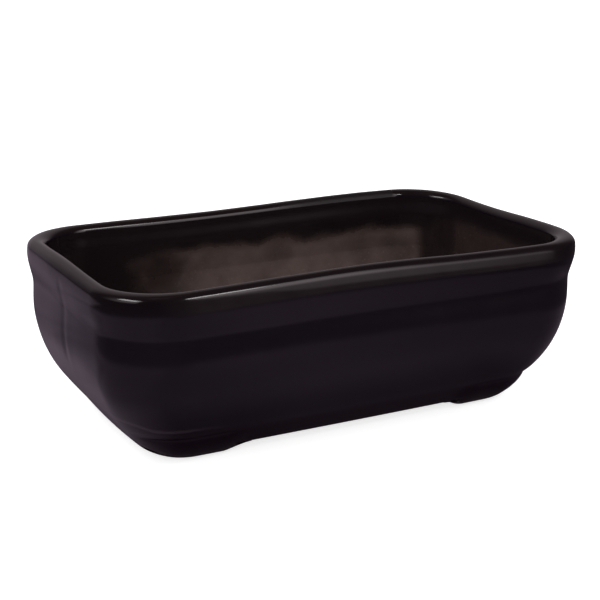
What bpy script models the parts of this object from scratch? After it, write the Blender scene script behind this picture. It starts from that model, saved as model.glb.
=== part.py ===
"""Rectangular stoneware planter on four corner feet.

Metres, +Z up. X runs along the long sides and Y along the short sides, and the
origin lies on the ground under the middle of the pot.

The tray is one piece of clay. From the top it has a thick rounded rim band, a
neck, a belly that tucks in towards the bottom, and a base band under a soft
crease. The feet are pads of the same clay, pressed by themselves and luted on
at the corners. Each sits under the flat underside and laps up over the base
band as far as the crease, and its ends rise in a scallop to the tray.
"""

import math

import bmesh
import bpy

# Overall size
LENGTH = 0.2035                  # over the bowed short sides
WIDTH = 0.117                    # over the bowed long sides
HEIGHT = 0.0693                  # ground to the top of the rim

# Plan outline, seen from above at the rim's outside
CORNER_RADIUS = 0.024
CORNER_TIGHTENING = 0.45         # radius lost for each unit that the outline draws in
LONG_SIDE_BOW = 0.0006           # outward bow at the middle of a long side
SHORT_SIDE_BOW = 0.0018

# Outside of the tray, from the top down
RIM_THICKNESS = 0.0065
RIM_ROUNDING = 0.0028            # height of the rim's rounded top
RIM_BAND_HEIGHT = 0.0082
RIM_STEP_HEIGHT = 0.0065         # the slope from the rim band in to the neck
RIM_PROJECTION = 0.00115         # how far the rim band stands out from the neck
NECK_HEIGHT = 0.0095
BELLY_REACH = 0.0313             # how far the quarter ellipse of the belly tucks in
BASE_BAND_HEIGHT = 0.0090        # underside to crease
BASE_BAND_DRAFT = math.radians(36.5)
UNDERSIDE_EDGE = 0.0017          # radius between the base band and the underside
UNDERSIDE_HEIGHT = 0.0034        # ground to the tray's flat underside

# Inside of the tray
WALL = 0.0062                    # at the neck
RIM_UNDERCUT_HEIGHT = 0.009      # the rim's inner edge slopes out to the full wall over this
FLOOR = 0.0065
INSIDE_REACH = 0.023             # how far the inside of the belly tucks in

# Holes in the floor
DRAIN_HOLE_DIAMETER = 0.014
DRAIN_HOLE_SPACING = 0.084
WIRE_HOLE_DIAMETER = 0.004
WIRE_HOLE_SPACING_X = 0.040
WIRE_HOLE_SPACING_Y = 0.030
HOLE_LIP = 0.0012                # the glazed, rounded edge of a hole
PLUG_OVERRUN = 0.0010            # how far the cutting plugs pass both faces of the floor

# Feet
FOOT_WIDTH = 0.0150              # outer face to inner face, under the tray
FOOT_SWELL = 0.0016              # how far a foot stands out from the base band
FOOT_LIP = 0.0008                # the same, along its upper edge
FOOT_LONG_END = 0.0531           # middle of the pot to where the sole ends, along X
FOOT_SHORT_END = 0.0180          # the same, along Y
SCALLOP_LONG = 0.0103            # run of the scallop, along X
SCALLOP_SHORT = 0.0090           # the same, along Y
SCALLOP_TIP = 0.0009             # clay left at the end of a scallop, under the tray
SCALLOP_LAP = 0.0006             # how far that end laps up past the tray's rounded edge
SOLE_OUTER_EDGE = 0.0028         # radius between a foot's outer face and its sole
SOLE_INNER_EDGE = 0.0012
LUTING_GAP = 0.0003              # clearance between a foot and the tray

# Steps along curves
CORNER_STEPS = 10
LONG_SIDE_STEPS = 8
SHORT_SIDE_STEPS = 5
FOOT_LEG_STEPS = 9
BELLY_STEPS = 11
RIM_STEPS = 10
RIM_STEP_STEPS = 4
EDGE_STEPS = 3
BAND_STEPS = 2
HOLE_STEPS = 28
WIRE_HOLE_STEPS = 12

# Finish
GLAZE_COLOUR = (0.016, 0.012, 0.015)
TRAY_ROUGHNESS = 0.28
FOOT_ROUGHNESS = 0.38            # the glaze runs thinner over the feet
SMOOTH_SHADING_LIMIT = math.radians(40.0)

# Places worked out from the sizes
QUARTER_TURN = math.radians(90.0)
HALF_LENGTH = LENGTH / 2 - SHORT_SIDE_BOW
HALF_WIDTH = WIDTH / 2 - LONG_SIDE_BOW
BAND_FOOT = HEIGHT - RIM_BAND_HEIGHT
NECK_TOP = BAND_FOOT - RIM_STEP_HEIGHT
WAIST = NECK_TOP - NECK_HEIGHT
CREASE = UNDERSIDE_HEIGHT + BASE_BAND_HEIGHT
FLOOR_TOP = UNDERSIDE_HEIGHT + FLOOR
FOOT_TOP = UNDERSIDE_HEIGHT - LUTING_GAP
LAP_END = UNDERSIDE_HEIGHT + UNDERSIDE_EDGE + SCALLOP_LAP


def smooth(t):
    """Ease from 0 to 1 with no slope at either end."""
    t = min(max(t, 0.0), 1.0)
    return t * t * (3.0 - 2.0 * t)


def corner_radius(inset):
    """Plan radius of the corners where the outline has drawn in by inset."""
    return max(CORNER_RADIUS - CORNER_TIGHTENING * inset, UNDERSIDE_EDGE)


def bowed(x, y, inset):
    """Push a point of the outline out by the bow of the side that it is on."""
    along_x = x / (HALF_LENGTH - inset)
    along_y = y / (HALF_WIDTH - inset)
    push_x = SHORT_SIDE_BOW * (1.0 - along_y ** 2) * along_x ** 4
    push_y = LONG_SIDE_BOW * (1.0 - along_x ** 2) * along_y ** 4
    return x + math.copysign(push_x, x), y + math.copysign(push_y, y)


def corner_centre(inset):
    """Centre of the +X +Y corner's arc at one inset."""
    radius = corner_radius(inset)
    return HALF_LENGTH - inset - radius, HALF_WIDTH - inset - radius


def outline(inset):
    """The rounded rectangle at one inset, anticlockwise from the +X side."""
    radius = corner_radius(inset)
    centre_x, centre_y = corner_centre(inset)
    corners = []
    for quarter, (sign_x, sign_y) in enumerate(((1, 1), (-1, 1), (-1, -1), (1, -1))):
        arc = []
        for step in range(CORNER_STEPS + 1):
            angle = QUARTER_TURN * (quarter + step / CORNER_STEPS)
            x = sign_x * centre_x + radius * math.cos(angle)
            y = sign_y * centre_y + radius * math.sin(angle)
            arc.append((x, y))
        corners.append(arc)
    points = []
    for quarter, arc in enumerate(corners):
        points += arc
        start = arc[-1]
        end = corners[(quarter + 1) % 4][0]
        side_steps = (LONG_SIDE_STEPS, SHORT_SIDE_STEPS)[quarter % 2]
        for step in range(1, side_steps):
            t = step / side_steps
            points.append((start[0] + (end[0] - start[0]) * t, start[1] + (end[1] - start[1]) * t))
    return [bowed(x, y, inset) for x, y in points]


def belly_inset(z):
    """Outside of the belly: a quarter ellipse from the waist to the underside."""
    drop = (WAIST - z) / (WAIST - UNDERSIDE_HEIGHT)
    return RIM_PROJECTION + BELLY_REACH * (1.0 - math.sqrt(1.0 - drop ** 2))


def base_inset(z):
    """Outside of the base band, and of the feet that carry on its slope."""
    return belly_inset(CREASE) + math.tan(BASE_BAND_DRAFT) * (CREASE - z)


def rounded_edge(face, bottom, radius):
    """A rounded lower edge, from under the edge up to the face.

    face(z) gives the inset of the face above the edge.
    """
    points = []
    for step in range(EDGE_STEPS + 1):
        angle = QUARTER_TURN * (1.0 - step / EDGE_STEPS)
        z = bottom + radius * (1.0 - math.sin(angle))
        points.append((face(z) + radius * (1.0 - math.cos(angle)), z))
    return points


def base_profile(top):
    """The tray's base band, from the underside up to a height above its rounded edge."""
    points = rounded_edge(base_inset, UNDERSIDE_HEIGHT, UNDERSIDE_EDGE)
    start = points[-1][1]
    for step in range(1, BAND_STEPS + 1):
        z = start + (top - start) * step / BAND_STEPS
        points.append((base_inset(z), z))
    return points


def outer_profile():
    """Insets and heights from the underside's edge up to the rim's outside."""
    points = base_profile(CREASE)
    depth = WAIST - UNDERSIDE_HEIGHT
    low_angle = math.asin((WAIST - CREASE) / depth)
    for step in range(1, BELLY_STEPS + 1):
        z = WAIST - depth * math.sin(low_angle * (1.0 - step / BELLY_STEPS))
        points.append((belly_inset(z), z))
    points.append((RIM_PROJECTION, (WAIST + NECK_TOP) / 2))
    for step in range(RIM_STEP_STEPS + 1):
        t = step / RIM_STEP_STEPS
        points.append((RIM_PROJECTION * (1.0 - smooth(t)), NECK_TOP + RIM_STEP_HEIGHT * t))
    return points


def rim_profile():
    """The rounded top of the rim, from its outside to its inside."""
    points = []
    for step in range(RIM_STEPS + 1):
        angle = math.pi * step / RIM_STEPS
        inset = RIM_THICKNESS / 2 * (1.0 - math.cos(angle))
        points.append((inset, HEIGHT - RIM_ROUNDING * (1.0 - math.sin(angle))))
    return points


def inner_profile():
    """The inside wall, from under the rim down to the floor."""
    wall_inset = RIM_PROJECTION + WALL
    rim_foot = HEIGHT - RIM_ROUNDING
    points = []
    for step in range(1, RIM_STEP_STEPS + 1):
        t = step / RIM_STEP_STEPS
        inset = RIM_THICKNESS + (wall_inset - RIM_THICKNESS) * smooth(t)
        points.append((inset, rim_foot - RIM_UNDERCUT_HEIGHT * t))
    for step in range(BELLY_STEPS + 1):
        angle = QUARTER_TURN * step / BELLY_STEPS
        inset = wall_inset + INSIDE_REACH * (1.0 - math.cos(angle))
        points.append((inset, WAIST - (WAIST - FLOOR_TOP) * math.sin(angle)))
    return points


def add_skin(mesh, rings):
    """Skin a list of vertex rings with quads, and close the first and last."""
    for lower, upper in zip(rings, rings[1:]):
        count = len(lower)
        for i in range(count):
            j = (i + 1) % count
            mesh.faces.new((lower[i], lower[j], upper[j], upper[i]))
    mesh.faces.new(reversed(rings[0]))
    mesh.faces.new(rings[-1])


def new_object(name, mesh, material, location=(0.0, 0.0, 0.0)):
    """Turn a bmesh into a scene object with outward faces and smooth shading."""
    bmesh.ops.recalc_face_normals(mesh, faces=mesh.faces)
    data = bpy.data.meshes.new(name)
    mesh.to_mesh(data)
    mesh.free()
    if material is not None:
        data.materials.append(material)
    data.shade_smooth()
    data.set_sharp_from_angle(angle=SMOOTH_SHADING_LIMIT)
    piece = bpy.data.objects.new(name, data)
    piece.location = location
    bpy.context.scene.collection.objects.link(piece)
    return piece


def even_facets(piece):
    """Split the faces into triangles as even as they can be, with no thin splinters."""
    split = piece.modifiers.new("Even facets", "TRIANGULATE")
    split.quad_method = "SHORTEST_DIAGONAL"
    split.ngon_method = "BEAUTY"


def clay_material(name, colour, roughness):
    """A plain finish for one piece."""
    material = bpy.data.materials.new(name)
    material.use_nodes = True
    shader = material.node_tree.nodes["Principled BSDF"]
    shader.inputs["Base Color"].default_value = (*colour, 1.0)
    shader.inputs["Roughness"].default_value = roughness
    shader.inputs["Metallic"].default_value = 0.0
    return material


def add_hole_plug(mesh, x, y, diameter, steps):
    """Add the turned plug that cuts one floor hole with rounded lips."""
    radius = diameter / 2
    profile = [(radius + HOLE_LIP, UNDERSIDE_HEIGHT - PLUG_OVERRUN)]
    for step in range(EDGE_STEPS + 1):
        angle = QUARTER_TURN * step / EDGE_STEPS
        flare = HOLE_LIP * (1.0 - math.sin(angle))
        profile.append((radius + flare, UNDERSIDE_HEIGHT + HOLE_LIP * (1.0 - math.cos(angle))))
    for step in range(EDGE_STEPS + 1):
        angle = QUARTER_TURN * step / EDGE_STEPS
        flare = HOLE_LIP * (1.0 - math.cos(angle))
        profile.append((radius + flare, FLOOR_TOP - HOLE_LIP * (1.0 - math.sin(angle))))
    profile.append((radius + HOLE_LIP, FLOOR_TOP + PLUG_OVERRUN))
    rings = []
    for ring_radius, z in profile:
        ring = []
        for step in range(steps):
            angle = math.tau * step / steps
            ring.append(mesh.verts.new((
                x + ring_radius * math.cos(angle),
                y + ring_radius * math.sin(angle),
                z,
            )))
        rings.append(ring)
    add_skin(mesh, rings)


def make_tray(material):
    """The tray: one closed skin over its outside, rim and inside, then drilled."""
    mesh = bmesh.new()
    rings = []
    for inset, z in outer_profile() + rim_profile() + inner_profile():
        rings.append([mesh.verts.new((x, y, z)) for x, y in outline(inset)])
    add_skin(mesh, rings)
    tray = new_object("pot_body", mesh, material)

    plugs = bmesh.new()
    for side in (-1, 1):
        add_hole_plug(plugs, side * DRAIN_HOLE_SPACING / 2, 0.0, DRAIN_HOLE_DIAMETER, HOLE_STEPS)
        for row in (-1, 1):
            x = side * WIRE_HOLE_SPACING_X / 2
            y = row * WIRE_HOLE_SPACING_Y / 2
            add_hole_plug(plugs, x, y, WIRE_HOLE_DIAMETER, WIRE_HOLE_STEPS)
    cutter = new_object("floor_hole_plugs", plugs, None)
    cutter.hide_render = True
    cutter.display_type = "WIRE"
    drilling = tray.modifiers.new("Floor holes", "BOOLEAN")
    drilling.operation = "DIFFERENCE"
    drilling.solver = "EXACT"
    drilling.object = cutter
    even_facets(tray)


def set_off(points, gap):
    """Move a profile outwards, square to itself, by a gap."""
    moved = []
    for i, (inset, z) in enumerate(points):
        before = points[max(i - 1, 0)]
        after = points[min(i + 1, len(points) - 1)]
        run = after[0] - before[0]
        rise = after[1] - before[1]
        length = math.hypot(run, rise)
        moved.append((inset - gap * rise / length, z + gap * run / length))
    return moved


def foot_section(lift, lap_top):
    """One slice of a foot as insets and heights, round the closed outline.

    lift is the sole's height there, and lap_top the height that the foot laps
    up to on the base band.
    """
    def outer_face(z):
        swell = smooth((lap_top - z) / (BASE_BAND_HEIGHT / 2))
        return base_inset(z) - FOOT_LIP - (FOOT_SWELL - FOOT_LIP) * swell

    inner_face = base_inset(FOOT_TOP) + FOOT_WIDTH
    inner_edge = rounded_edge(lambda z: 0.0, lift, min(SOLE_INNER_EDGE, (FOOT_TOP - lift) / 2))
    points = [(inner_face - inset, z) for inset, z in reversed(inner_edge)]
    outer_edge = rounded_edge(outer_face, lift, min(SOLE_OUTER_EDGE, (lap_top - lift) / 2))
    points += outer_edge
    edge_top = outer_edge[-1][1]
    for step in range(1, BAND_STEPS + 1):
        z = edge_top + (lap_top - edge_top) * step / BAND_STEPS
        points.append((outer_face(z), z))
    points += reversed(set_off(base_profile(lap_top), LUTING_GAP))
    points.append((inner_face, FOOT_TOP))
    return points


def foot_plan_point(inset, leg, t):
    """A point of the foot's path at one inset, for the +X +Y corner.

    The path runs along the long side, round the corner and along the short
    side. leg names the stretch, and t runs from 0 to 1 along it.
    """
    radius = corner_radius(inset)
    centre_x, centre_y = corner_centre(inset)
    if leg == "long":
        tip = FOOT_LONG_END - SCALLOP_LONG
        return bowed(tip + (centre_x - tip) * t, centre_y + radius, inset)
    if leg == "short":
        tip = FOOT_SHORT_END - SCALLOP_SHORT
        return bowed(centre_x + radius, centre_y + (tip - centre_y) * t, inset)
    angle = QUARTER_TURN * (1.0 - t)
    return bowed(centre_x + radius * math.cos(angle), centre_y + radius * math.sin(angle), inset)


def make_foot(name, material, sign_x, sign_y):
    """One corner foot, as slices set along the tray's outline."""
    stations = [("long", step / FOOT_LEG_STEPS) for step in range(FOOT_LEG_STEPS)]
    stations += [("corner", step / CORNER_STEPS) for step in range(CORNER_STEPS)]
    stations += [("short", step / FOOT_LEG_STEPS) for step in range(FOOT_LEG_STEPS + 1)]
    sole_inset = base_inset(0.0) + SOLE_OUTER_EDGE
    origin_x, origin_y = foot_plan_point(sole_inset, "corner", 0.5)
    mesh = bmesh.new()
    rings = []
    for leg, t in stations:
        x, y = foot_plan_point(sole_inset, leg, t)
        fade = max(smooth((FOOT_LONG_END - x) / SCALLOP_LONG), smooth((FOOT_SHORT_END - y) / SCALLOP_SHORT))
        lift = (FOOT_TOP - SCALLOP_TIP) * fade
        lap_top = CREASE + (LAP_END - CREASE) * fade
        ring = []
        for inset, z in foot_section(lift, lap_top):
            x, y = foot_plan_point(inset, leg, t)
            ring.append(mesh.verts.new((sign_x * (x - origin_x), sign_y * (y - origin_y), z)))
        rings.append(ring)
    add_skin(mesh, rings)
    even_facets(new_object(name, mesh, material, (sign_x * origin_x, sign_y * origin_y, 0.0)))


def main():
    for old in list(bpy.data.objects):
        bpy.data.objects.remove(old, do_unlink=True)
    make_tray(clay_material("tray_glaze", GLAZE_COLOUR, TRAY_ROUGHNESS))
    for end, sign_y in (("front", -1), ("rear", 1)):
        for side, sign_x in (("left", -1), ("right", 1)):
            name = f"foot_{end}_{side}"
            make_foot(name, clay_material(f"{name}_glaze", GLAZE_COLOUR, FOOT_ROUGHNESS), sign_x, sign_y)


main()
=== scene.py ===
# %% [markdown]
# This script dresses a small rectangular planter: one pressed stoneware tray with a thick rim band,
# a belly that tucks in to a base band, and four corner feet. The imported model is the fixed frame. It
# gives the real sizes, and nothing in it is moved. Each of its five solids is replaced here by a finer
# skin with a glaze on it, so the first step is to load it and to read its box.

# %% Load the fixed frame
import math

import bmesh
import bpy
from mathutils import Matrix, Vector


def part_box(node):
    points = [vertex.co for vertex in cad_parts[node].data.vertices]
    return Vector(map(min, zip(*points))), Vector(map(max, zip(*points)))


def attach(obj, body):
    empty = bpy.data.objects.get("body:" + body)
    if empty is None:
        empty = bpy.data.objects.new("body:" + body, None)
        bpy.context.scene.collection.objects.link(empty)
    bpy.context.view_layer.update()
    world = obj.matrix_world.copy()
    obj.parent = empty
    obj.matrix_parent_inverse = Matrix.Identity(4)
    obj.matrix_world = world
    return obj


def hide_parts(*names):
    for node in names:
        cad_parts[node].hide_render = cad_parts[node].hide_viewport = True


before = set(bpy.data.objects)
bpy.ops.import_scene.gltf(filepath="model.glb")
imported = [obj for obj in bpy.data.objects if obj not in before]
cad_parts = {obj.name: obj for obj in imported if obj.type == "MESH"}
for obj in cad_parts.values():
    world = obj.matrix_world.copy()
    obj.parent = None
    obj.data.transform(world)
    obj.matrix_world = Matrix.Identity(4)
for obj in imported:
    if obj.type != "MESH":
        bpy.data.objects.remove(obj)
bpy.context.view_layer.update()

# %% [markdown]
# A lofted pot needs two drawings: the plan, which is a rectangle with rounded corners, and the section
# through the wall. Both are driven by a few sizes. The overall ones are read from the frame, and the
# others are the potter's own, in metres. The real pot isn't quite even: each side bows out by a
# different amount, where the frame's solid has one even bow for the ends and one for the long sides,
# and the rim sagged a little in the kiln.

# %% Sizes of the pot
MM = 0.001


def span(start, full):
    """Where something starts and where it is complete, given in millimetres."""
    return start * MM, full * MM


tray_low, tray_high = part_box("pot_body")
HEIGHT = tray_high.z
UNDERSIDE = tray_low.z
LEFT_BOW, RIGHT_BOW = 1.9 * MM, 2.2 * MM
FRONT_BOW, REAR_BOW = 0.7 * MM, 0.4 * MM
EVEN_END_BOW, EVEN_SIDE_BOW = 1.8 * MM, 0.6 * MM
HALF_LENGTH = tray_high.x - EVEN_END_BOW
HALF_WIDTH = tray_high.y - EVEN_SIDE_BOW
CORNER_RADIUS = 24.0 * MM
CORNER_TIGHTENING = 0.45

RIM_THICKNESS = 6.5 * MM
RIM_ROUNDING = 2.8 * MM
RIM_BAND_HEIGHT, RIM_STEP_HEIGHT, NECK_HEIGHT = 8.2 * MM, 9.0 * MM, 7.0 * MM
RIM_FOOT = HEIGHT - RIM_BAND_HEIGHT
NECK = RIM_FOOT - RIM_STEP_HEIGHT
NECK_DEPTH = 0.16 * MM
WAIST = NECK - NECK_HEIGHT
RIM_PROJECTION = 1.15 * MM
RIM_SWELL, RIM_SWELL_OVERRUN = 0.38 * MM, 1.3 * MM
BELLY_REACH = 31.3 * MM
CREASE = 12.4 * MM
CREASE_SOFTNESS = 0.6 * MM
BASE_DRAFT = math.tan(math.radians(36.5))
UNDERSIDE_EDGE = 1.7 * MM
WALL = 6.2 * MM
UNDERCUT = 9.0 * MM
FLOOR_THICKNESS = 6.5 * MM
FLOOR_TOP = UNDERSIDE + FLOOR_THICKNESS
INSIDE_REACH = 23.0 * MM
print("half plan in mm:", round(HALF_LENGTH / MM, 2), "by", round(HALF_WIDTH / MM, 2))

# %% [markdown]
# The section is a chain of points, each an inset from the outline and a height. It runs from the middle
# of the underside, round the lower edge, up the base band and the belly to the rim, over the rim, and
# down the inside to the middle of the floor. Along the way each point also gets a mark that says what
# part of the pot it is on, because the glaze changes from part to part.


# %% The outside at any height
QUARTER = math.radians(90.0)
FLATTEST = 0.999


def smooth(t):
    """Ease from 0 to 1 with no slope at either end."""
    t = min(max(t, 0.0), 1.0)
    return t * t * (3.0 - 2.0 * t)


def even_steps(start, end, count, first=1):
    """Evenly spaced values up to end. The start itself is left out unless first is 0."""
    return [start + (end - start) * step / count for step in range(first, count + 1)]


def belly_inset(z):
    """A quarter ellipse below the waist, and the shallow neck above it."""
    drop = min((WAIST - z) / (WAIST - UNDERSIDE), FLATTEST)
    if drop < 0.0:
        return RIM_PROJECTION + NECK_DEPTH * smooth((z - WAIST) / (NECK - WAIST))
    return RIM_PROJECTION + BELLY_REACH * (1.0 - math.sqrt(1.0 - drop * drop))


def band_inset(z):
    """The straight base band, which starts at the crease."""
    return belly_inset(CREASE) + BASE_DRAFT * (CREASE - z)


def outer_inset(z):
    """The outside below the rim: the belly runs into the base band at a soft crease."""
    share = smooth((z - CREASE + CREASE_SOFTNESS) / (2.0 * CREASE_SOFTNESS))
    return band_inset(z) * (1.0 - share) + belly_inset(z) * share


def rim_swell(z):
    """How far the rim band bulges past its even face."""
    middle = (RIM_FOOT + HEIGHT - RIM_ROUNDING) / 2.0
    reach = (HEIGHT - RIM_FOOT) / 2.0 + RIM_SWELL_OVERRUN
    return RIM_SWELL * math.cos(0.5 * math.pi * min(abs(z - middle) / reach, 1.0)) ** 2


print("inset at the crease in mm:", round(outer_inset(CREASE) / MM, 2))

# %% [markdown]
# With the outside known at any height, the rows of the section are laid one part after the other. Curved
# parts get many rows and flat ones few. The innermost row reaches the pot's middle line, where the two
# long sides meet and are merged, so the underside and the floor have no opening.


# %% The wall section
FLOOR_ROWS, EDGE_ROWS, BELLY_ROWS, STEP_ROWS, BAND_ROWS = 12, 6, 48, 14, 8
RIM_ROWS, UNDERCUT_ROWS, UPPER_WALL_ROWS, INSIDE_ROWS = 28, 8, 6, 30


def wall_section():
    """Rows of inset, height and mark: 0 underside, 1 outside, 2 to 3 over the rim, 3 inside, 4 floor."""
    edge_inset = outer_inset(UNDERSIDE + UNDERSIDE_EDGE) + BASE_DRAFT * UNDERSIDE_EDGE + UNDERSIDE_EDGE
    inmost = HALF_WIDTH
    rows = [(inset, UNDERSIDE, 0.0) for inset in even_steps(inmost, edge_inset, FLOOR_ROWS, 0)[:-1]]
    for step in range(EDGE_ROWS + 1):
        angle = QUARTER * (1.0 - step / EDGE_ROWS)
        z = UNDERSIDE + UNDERSIDE_EDGE * (1.0 - math.sin(angle))
        inset = outer_inset(z) + UNDERSIDE_EDGE * (1.0 - math.cos(angle))
        rows.append((inset, z, 0.2 + 0.8 * step / EDGE_ROWS))
    rows += [(outer_inset(z), z, 1.0) for z in even_steps(rows[-1][1], NECK, BELLY_ROWS)]
    for t in even_steps(0.0, 1.0, STEP_ROWS):
        z = NECK + (RIM_FOOT - NECK) * t
        rows.append(((RIM_PROJECTION + NECK_DEPTH) * (1.0 - smooth(t)) - rim_swell(z), z, 1.0 + 0.4 * t))
    shoulder = HEIGHT - RIM_ROUNDING
    for step in range(1, BAND_ROWS):
        z = RIM_FOOT + (shoulder - RIM_FOOT) * step / BAND_ROWS
        rows.append((-rim_swell(z), z, 1.4 + 0.6 * step / BAND_ROWS))
    for step in range(RIM_ROWS + 1):
        angle = math.pi * step / RIM_ROWS
        inset = RIM_THICKNESS / 2.0 * (1.0 - math.cos(angle))
        z = shoulder + RIM_ROUNDING * math.sin(angle)
        if step < RIM_ROWS // 2:
            inset -= rim_swell(z)
        rows.append((inset, z, 2.0 + step / RIM_ROWS))
    inner = RIM_PROJECTION + WALL
    for t in even_steps(0.0, 1.0, UNDERCUT_ROWS):
        rows.append((RIM_THICKNESS + (inner - RIM_THICKNESS) * smooth(t), shoulder - UNDERCUT * t, 3.0))
    rows += [(inner, z, 3.0) for z in even_steps(rows[-1][1], WAIST, UPPER_WALL_ROWS)]
    for step in range(1, INSIDE_ROWS + 1):
        angle = QUARTER * step / INSIDE_ROWS
        inset = inner + INSIDE_REACH * (1.0 - math.cos(angle))
        rows.append((inset, WAIST - (WAIST - FLOOR_TOP) * math.sin(angle), 3.0 + step / INSIDE_ROWS))
    rows += [(inset, FLOOR_TOP, 4.0) for inset in even_steps(rows[-1][0], inmost, FLOOR_ROWS)]
    return rows


section = wall_section()
print("section points:", len(section))

# %% [markdown]
# The plan is kept as two short lists for each point: which corner's centre the point hangs on, from -1
# to 1 along each axis, and which way the corner's arc has turned there. A point at any inset is then
# centre times corner plus radius times turn, so one plan serves every height of the pot.

# %% The plan
CORNER_STEPS, LONG_STEPS, SHORT_STEPS = 22, 50, 44


def plan_points():
    """Rows of corner x, corner y, turn x and turn y, anticlockwise from the right side."""
    rows = []
    signs = ((1, 1), (-1, 1), (-1, -1), (1, -1))
    for quarter, sign in enumerate(signs):
        for step in range(CORNER_STEPS):
            angle = QUARTER * (quarter + step / CORNER_STEPS)
            rows.append((*sign, math.cos(angle), math.sin(angle)))
        after = signs[(quarter + 1) % 4]
        angle = QUARTER * (quarter + 1)
        steps = (LONG_STEPS, SHORT_STEPS)[quarter % 2]
        for step in range(steps):
            t = step / steps
            corner = (sign[0] + (after[0] - sign[0]) * t, sign[1] + (after[1] - sign[1]) * t)
            rows.append((*corner, math.cos(angle), math.sin(angle)))
    return rows


plan = plan_points()
print("plan points:", len(plan))

# %% [markdown]
# Geometry Nodes make the tray, because its shape follows a rule. The two drawings go in as small guide
# meshes that carry their values as attributes, and the tree works out every point of the skin. Writing
# that maths node by node would be hard to read, so a small class wraps a socket and turns Python's
# operators into Math nodes. The same class serves the materials later. One method makes every node with
# its settings and inputs.


# %% Sockets that do maths
def operator(operation):
    """A method that puts a socket and what is given with it into one Math node."""
    return lambda value, *others: value.maths(operation, *others)


class Value:
    """A node socket that can be added, multiplied and so on."""

    def __init__(self, tree, socket):
        self.tree = tree
        self.socket = socket

    def maths(self, operation, *others, clamp=False):
        node = self.tree.nodes.new("ShaderNodeMath")
        node.operation = operation
        node.use_clamp = clamp
        for slot, item in zip(node.inputs, (self, *others)):
            plug(self.tree, slot, item)
        return Value(self.tree, node.outputs[0])

    __add__ = __radd__ = operator("ADD")
    __mul__ = __rmul__ = operator("MULTIPLY")
    __sub__ = operator("SUBTRACT")
    __truediv__ = operator("DIVIDE")
    __pow__ = operator("POWER")
    most = operator("MAXIMUM")
    absolute = operator("ABSOLUTE")

    def __rsub__(self, other):
        return self * -1.0 + other

    def clamped(self):
        return self.maths("ADD", 0.0, clamp=True)

    def ramp(self, low, high):
        """Ease from 0 at low to 1 at high. With low above high it falls instead."""
        t = ((self - low) / (high - low)).clamped()
        return t * t * (3.0 - 2.0 * t)


def plug(tree, slot, item):
    """Set a node's input to a number, a colour or another socket."""
    if isinstance(item, Value):
        tree.links.new(item.socket, slot)
    else:
        slot.default_value = item


class Tree:
    """One node tree, with a single method that makes any node."""

    def __init__(self, tree):
        self.tree = tree

    def end(self, kind, shader):
        """Link a shader to an output node."""
        self.tree.links.new(shader.socket, self.tree.nodes.new(kind).inputs["Surface"])

    def node(self, kind, settings=None, output=0, **slots):
        """Make a node: its settings first, then its inputs by name, and return one output."""
        made = self.tree.nodes.new(kind)
        for name, setting in (settings or {}).items():
            setattr(made, name, setting)
        for name, item in slots.items():
            plug(self.tree, find_slot(made, name), item)
        return Value(self.tree, made.outputs[output])

    def vector(self, operation, *items, output=0):
        """Make a vector maths node. Output 0 is its vector, and output 1 is its number."""
        slots = {f"_{i}": item for i, item in enumerate(items)}
        return self.node("ShaderNodeVectorMath", {"operation": operation}, output=output, **slots)


def emptied(holder):
    """Clear the nodes of a material or a world, and wrap its tree."""
    holder.use_nodes = True
    holder.node_tree.nodes.clear()
    return Tree(holder.node_tree)


def find_slot(node, name):
    """The input called name, with spaces for underscores, or the one at a number such as _1."""
    if name.startswith("_"):
        return node.inputs[int(name[1:])]
    wanted = name.replace("_", " ").lower()
    for slot in node.inputs:
        if slot.name.lower() == wanted and slot.enabled:
            return slot
    raise KeyError(f"{node.bl_idname} has no input {name}")


print("operators ready")

# %% [markdown]
# The real rim isn't level: it dips at the two near corners and on the right, and it stands a millimetre
# high in the middle of the front and near the far right corner. Four slow waves round the pot add up to
# that. They lift the walls, most at the top and not at all at the feet.

# %% Unevenness of the rim
RIM_WAVES = (
    (2, -0.40 * MM, 0.20 * MM),
    (3, -0.40 * MM, 0.35 * MM),
    (4, 0.15 * MM, -0.35 * MM),
    (5, -0.10 * MM, -0.20 * MM),
)


def rim_lift(x, y):
    """The rim over its even level at a point of the plan, from waves of a count, a cosine and a sine."""
    angle = math.atan2(y / HALF_WIDTH, x / HALF_LENGTH)
    return sum(a * math.cos(n * angle) + b * math.sin(n * angle) for n, a, b in RIM_WAVES)


print("rim lift at the near left corner in mm:", round(rim_lift(-HALF_LENGTH, -HALF_WIDTH) / MM, 2))

# %% [markdown]
# The guides are meshes of loose points. A plan guide holds, for each of its points, the corner, the turn,
# a slide that moves the point without regard to the inset, the lift and a fade. A section guide holds
# its full shape and the shape that it fades to, which only the feet use.


# %% Guide meshes
def in_scene(name, data):
    """Make an object and link it to the scene."""
    made = bpy.data.objects.new(name, data)
    bpy.context.scene.collection.objects.link(made)
    return made


def guide(name, points, **attributes):
    """A hidden mesh of loose points that carries vectors and numbers for the loft."""
    mesh = bpy.data.meshes.new(name)
    mesh.from_pydata([tuple(p) for p in points], [], [])
    for key, values in attributes.items():
        kind, field = ("FLOAT_VECTOR", "vector") if hasattr(values[0], "__len__") else ("FLOAT", "value")
        layer = mesh.attributes.new(key, kind, "POINT")
        for item, value in zip(layer.data, values):
            setattr(item, field, value)
    return in_scene(name, mesh)


def rim_point(row):
    """Where a row of the plan lies on the pot's outline."""
    x = row[0] * (HALF_LENGTH - CORNER_RADIUS) + row[2] * CORNER_RADIUS
    y = row[1] * (HALF_WIDTH - CORNER_RADIUS) + row[3] * CORNER_RADIUS
    return x, y


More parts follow.
